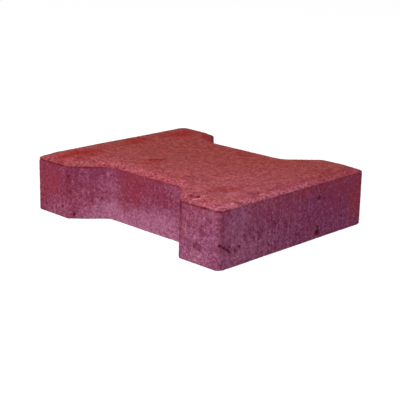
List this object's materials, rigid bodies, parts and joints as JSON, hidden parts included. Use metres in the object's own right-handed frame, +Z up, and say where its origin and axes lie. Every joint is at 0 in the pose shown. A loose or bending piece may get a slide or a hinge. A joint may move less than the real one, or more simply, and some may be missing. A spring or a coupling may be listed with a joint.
{
  "type": "concrete paving stone",
  "caption": "Double-T shaped interlocking paving stone of red pigmented concrete, with a bevelled walking face, laid on a sand bed to form paths and drives.",
  "frame": {"origin": "middle of the bed face, on the surface that the stone lies on", "axes": "+X along the stone's length from flange to flange, +Y along the flanges, +Z up to the walking face"},
  "size_m": [0.2, 0.165, 0.047],
  "materials": {
    "red_concrete": "matte"
  },
  "bodies": {
    "root": {"paving_stone": "red_concrete"}
  },
  "joints": []
}
